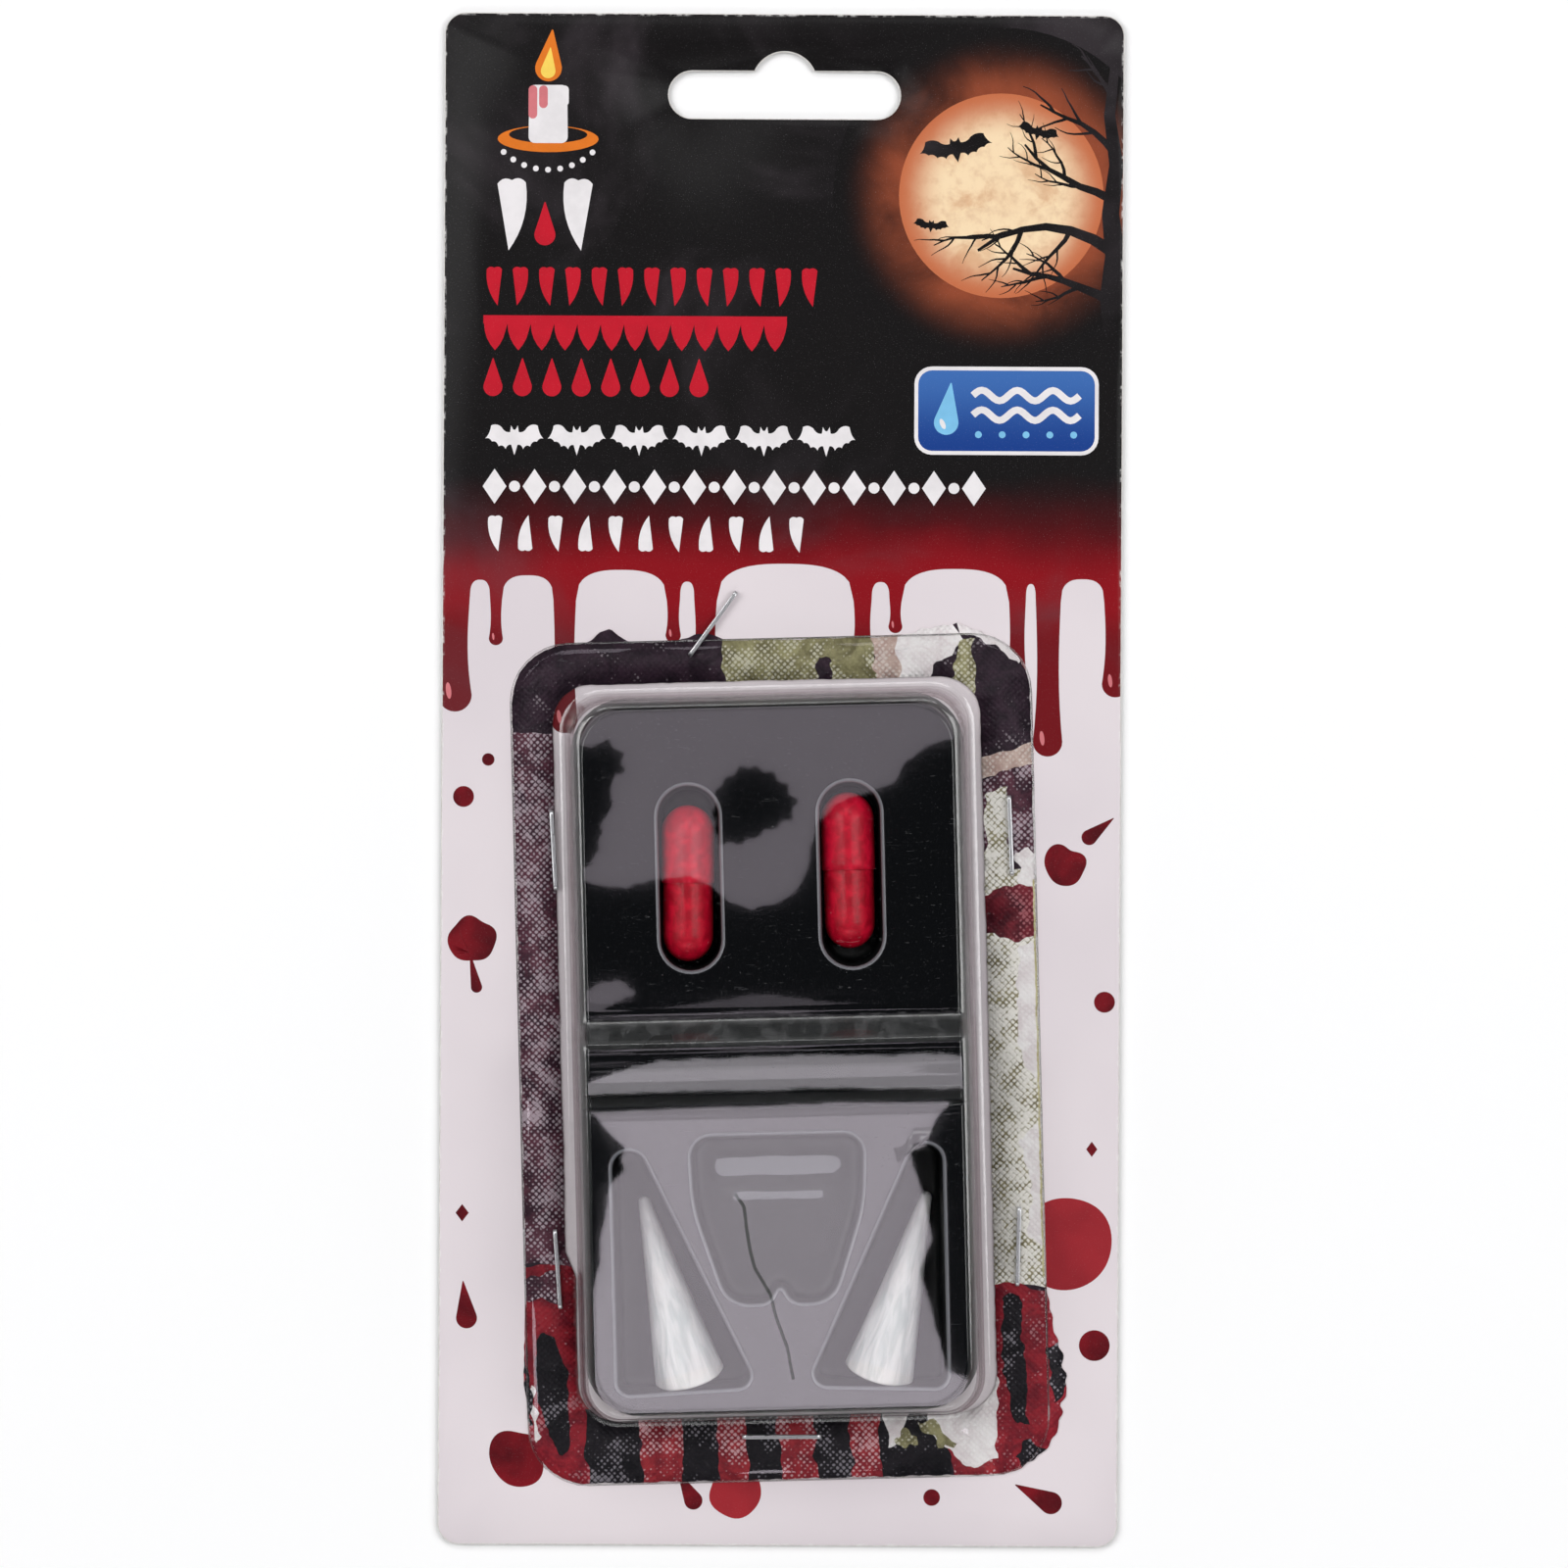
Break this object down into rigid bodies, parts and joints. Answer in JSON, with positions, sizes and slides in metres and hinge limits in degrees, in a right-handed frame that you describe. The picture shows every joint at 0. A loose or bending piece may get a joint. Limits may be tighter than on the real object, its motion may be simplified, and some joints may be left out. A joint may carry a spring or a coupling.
{
  "type": "fang tooth caps and capsules on a blister card",
  "caption": "Hollow fang-shaped tooth caps and slip-fit capsules lying in a black formed tray, under a clear blister stapled to a printed hang card with a euro slot.",
  "frame": {"origin": "the surface that the card lies on, under the middle of the card", "axes": "+Z out of the card's printed face, +Y along the card towards its hang slot, +X to the right of the print"},
  "size_m": [0.097, 0.2186, 0.0163],
  "materials": {
    "printed_card": "coated paperboard, glossy print on the front, plain grey-white back",
    "clear_film": "clear formed film, glossy",
    "black_tray": "glossy black formed sheet",
    "white_resin": "satin tooth-white resin",
    "red_gelatin": "glossy dark red gelatin",
    "torn_paper": "torn printed paper with a heat-seal crosshatch",
    "steel_wire": "bright flattened staple wire"
  },
  "bodies": {
    "root": {"backing_card": "printed_card", "blister_shell": "clear_film", "insert_tray_upper": "black_tray", "insert_tray_lower": "black_tray", "fang_cap_left": "white_resin", "fang_cap_right": "white_resin", "capsule_left_body": "red_gelatin", "capsule_left_cap": "red_gelatin", "capsule_right_body": "red_gelatin", "capsule_right_cap": "red_gelatin", "seal_residue": "torn_paper", "staple_top": "steel_wire", "staple_bottom": "steel_wire", "staple_left_upper": "steel_wire", "staple_left_lower": "steel_wire", "staple_right_upper": "steel_wire", "staple_right_lower": "steel_wire"}
  },
  "joints": []
}
